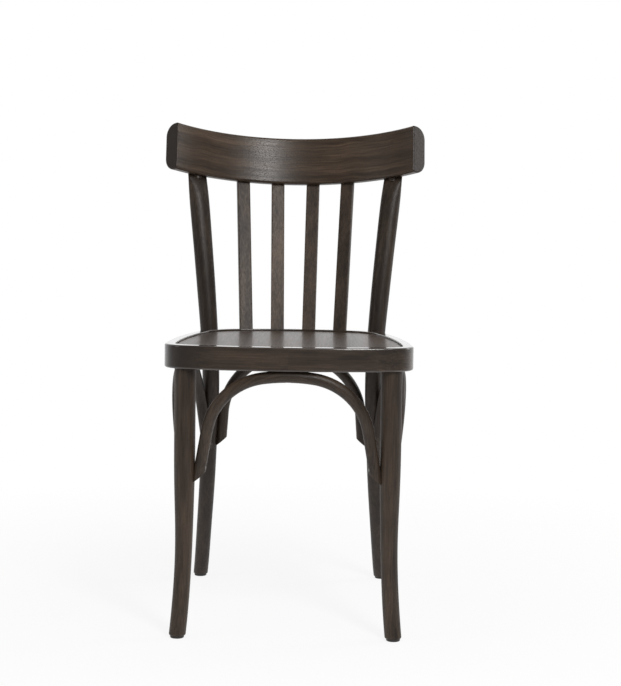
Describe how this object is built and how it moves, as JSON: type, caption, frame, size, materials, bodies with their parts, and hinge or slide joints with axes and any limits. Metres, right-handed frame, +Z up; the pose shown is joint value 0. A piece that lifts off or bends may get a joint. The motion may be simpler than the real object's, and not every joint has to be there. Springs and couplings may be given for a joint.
{
  "type": "bentwood bistro chair",
  "caption": "Armless bentwood chair with a curved crest rail, flat back slats, a plywood seat let into a bent ring, round legs and bent arches under the seat.",
  "frame": {"origin": "on the floor, under the middle of the chair's overall box", "axes": "+Z up, +X to the right as seen from the front, +Y to the back; the sitter faces -Y"},
  "size_m": [0.4558, 0.5005, 0.8265],
  "materials": {
    "stained_beech": "dark brown stain under satin lacquer",
    "seat_plywood": "dark brown stain under semi-gloss lacquer",
    "raw_beech": "stained, unpolished block under the seat",
    "glide_plastic": "dark nylon",
    "screw_steel": "zinc plated, dulled"
  },
  "bodies": {
    "root": {"seat_ring": "stained_beech", "crest_rail": "stained_beech", "front_leg_left": "stained_beech", "front_leg_right": "stained_beech", "rear_post_left": "stained_beech", "rear_post_right": "stained_beech", "back_slat_1": "stained_beech", "back_slat_2": "stained_beech", "back_slat_3": "stained_beech", "back_slat_4": "stained_beech", "front_arch": "stained_beech", "rear_arch": "stained_beech", "side_arch_left": "stained_beech", "side_arch_right": "stained_beech", "seat_panel": "seat_plywood", "corner_block_left": "raw_beech", "corner_block_right": "raw_beech", "front_glide_left": "glide_plastic", "front_glide_right": "glide_plastic", "rear_glide_left": "glide_plastic", "rear_glide_right": "glide_plastic", "arch_tip_screws": "screw_steel", "arch_ring_screws": "screw_steel", "post_screws": "screw_steel", "post_washers": "screw_steel"}
  },
  "joints": []
}
